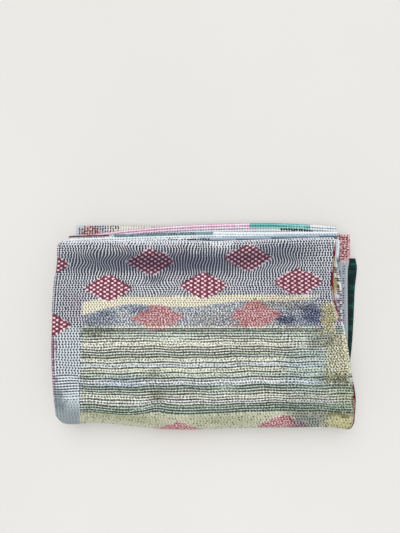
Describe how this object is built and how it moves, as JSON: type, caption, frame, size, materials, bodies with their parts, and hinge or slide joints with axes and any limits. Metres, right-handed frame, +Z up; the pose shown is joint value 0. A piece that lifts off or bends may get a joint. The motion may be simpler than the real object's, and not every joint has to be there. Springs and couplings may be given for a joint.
{
  "type": "kantha quilt",
  "caption": "A thin hand-stitched patchwork quilt folded into a low rectangular stack, with one rounded near fold, rounded side folds and its free ends fanned out at the far side.",
  "frame": {"origin": "on the floor, under the middle of the folded quilt's box", "axes": "+X runs along the folded width from the round side folds to the open hems, +Y runs to the far side where the short ends lie fanned out, and +Z is up"},
  "size_m": [0.5886, 0.4012, 0.053],
  "materials": {
    "quilted_cotton": "soft worn cotton, quilted through in puckered rows of running stitch"
  },
  "bodies": {
    "root": {"quilt": "quilted_cotton"}
  },
  "joints": []
}
